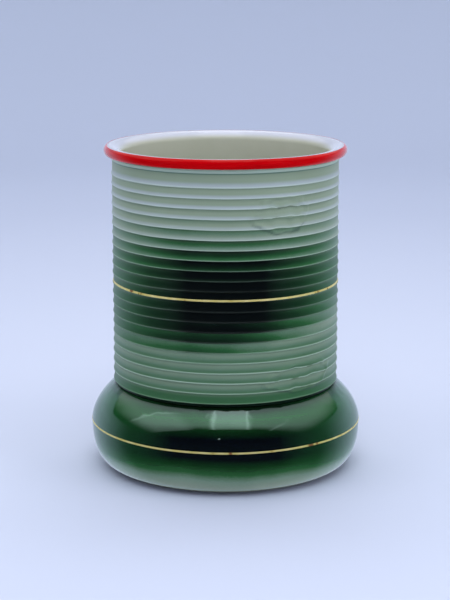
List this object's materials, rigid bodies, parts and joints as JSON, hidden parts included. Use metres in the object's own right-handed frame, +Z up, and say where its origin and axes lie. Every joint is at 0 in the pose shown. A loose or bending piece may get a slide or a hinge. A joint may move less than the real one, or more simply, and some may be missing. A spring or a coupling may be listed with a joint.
{
  "type": "pen holder cup",
  "caption": "Glazed ceramic pen holder: straight ribbed sleeve with a rolled rim on a wider rounded ring base, open at the top, standing on a foot ring.",
  "frame": {"origin": "centre of the foot ring's underside, on the surface it stands on", "axes": "+Z up along the axis that every piece is turned round; X and Y are interchangeable"},
  "size_m": [0.096, 0.096, 0.115],
  "materials": {
    "sleeve_glaze": "satin-gloss glaze, celadon with sprayed green and near-black bands",
    "base_glaze": "glossy glaze, deep green with a sprayed near-black band",
    "white_glaze": "glossy warm white glaze",
    "red_enamel": "glossy overglaze enamel",
    "gold_lustre": "thin fired gold",
    "bare_clay": "unglazed, matte"
  },
  "bodies": {
    "root": {"ribbed_sleeve": "sleeve_glaze", "rim_roll": "white_glaze", "rim_enamel": "red_enamel", "base_bulb": "base_glaze", "base_floor": "white_glaze", "foot_ring": "bare_clay", "upper_gold_line": "gold_lustre", "lower_gold_line": "gold_lustre", "liner_glaze": "white_glaze"}
  },
  "joints": []
}
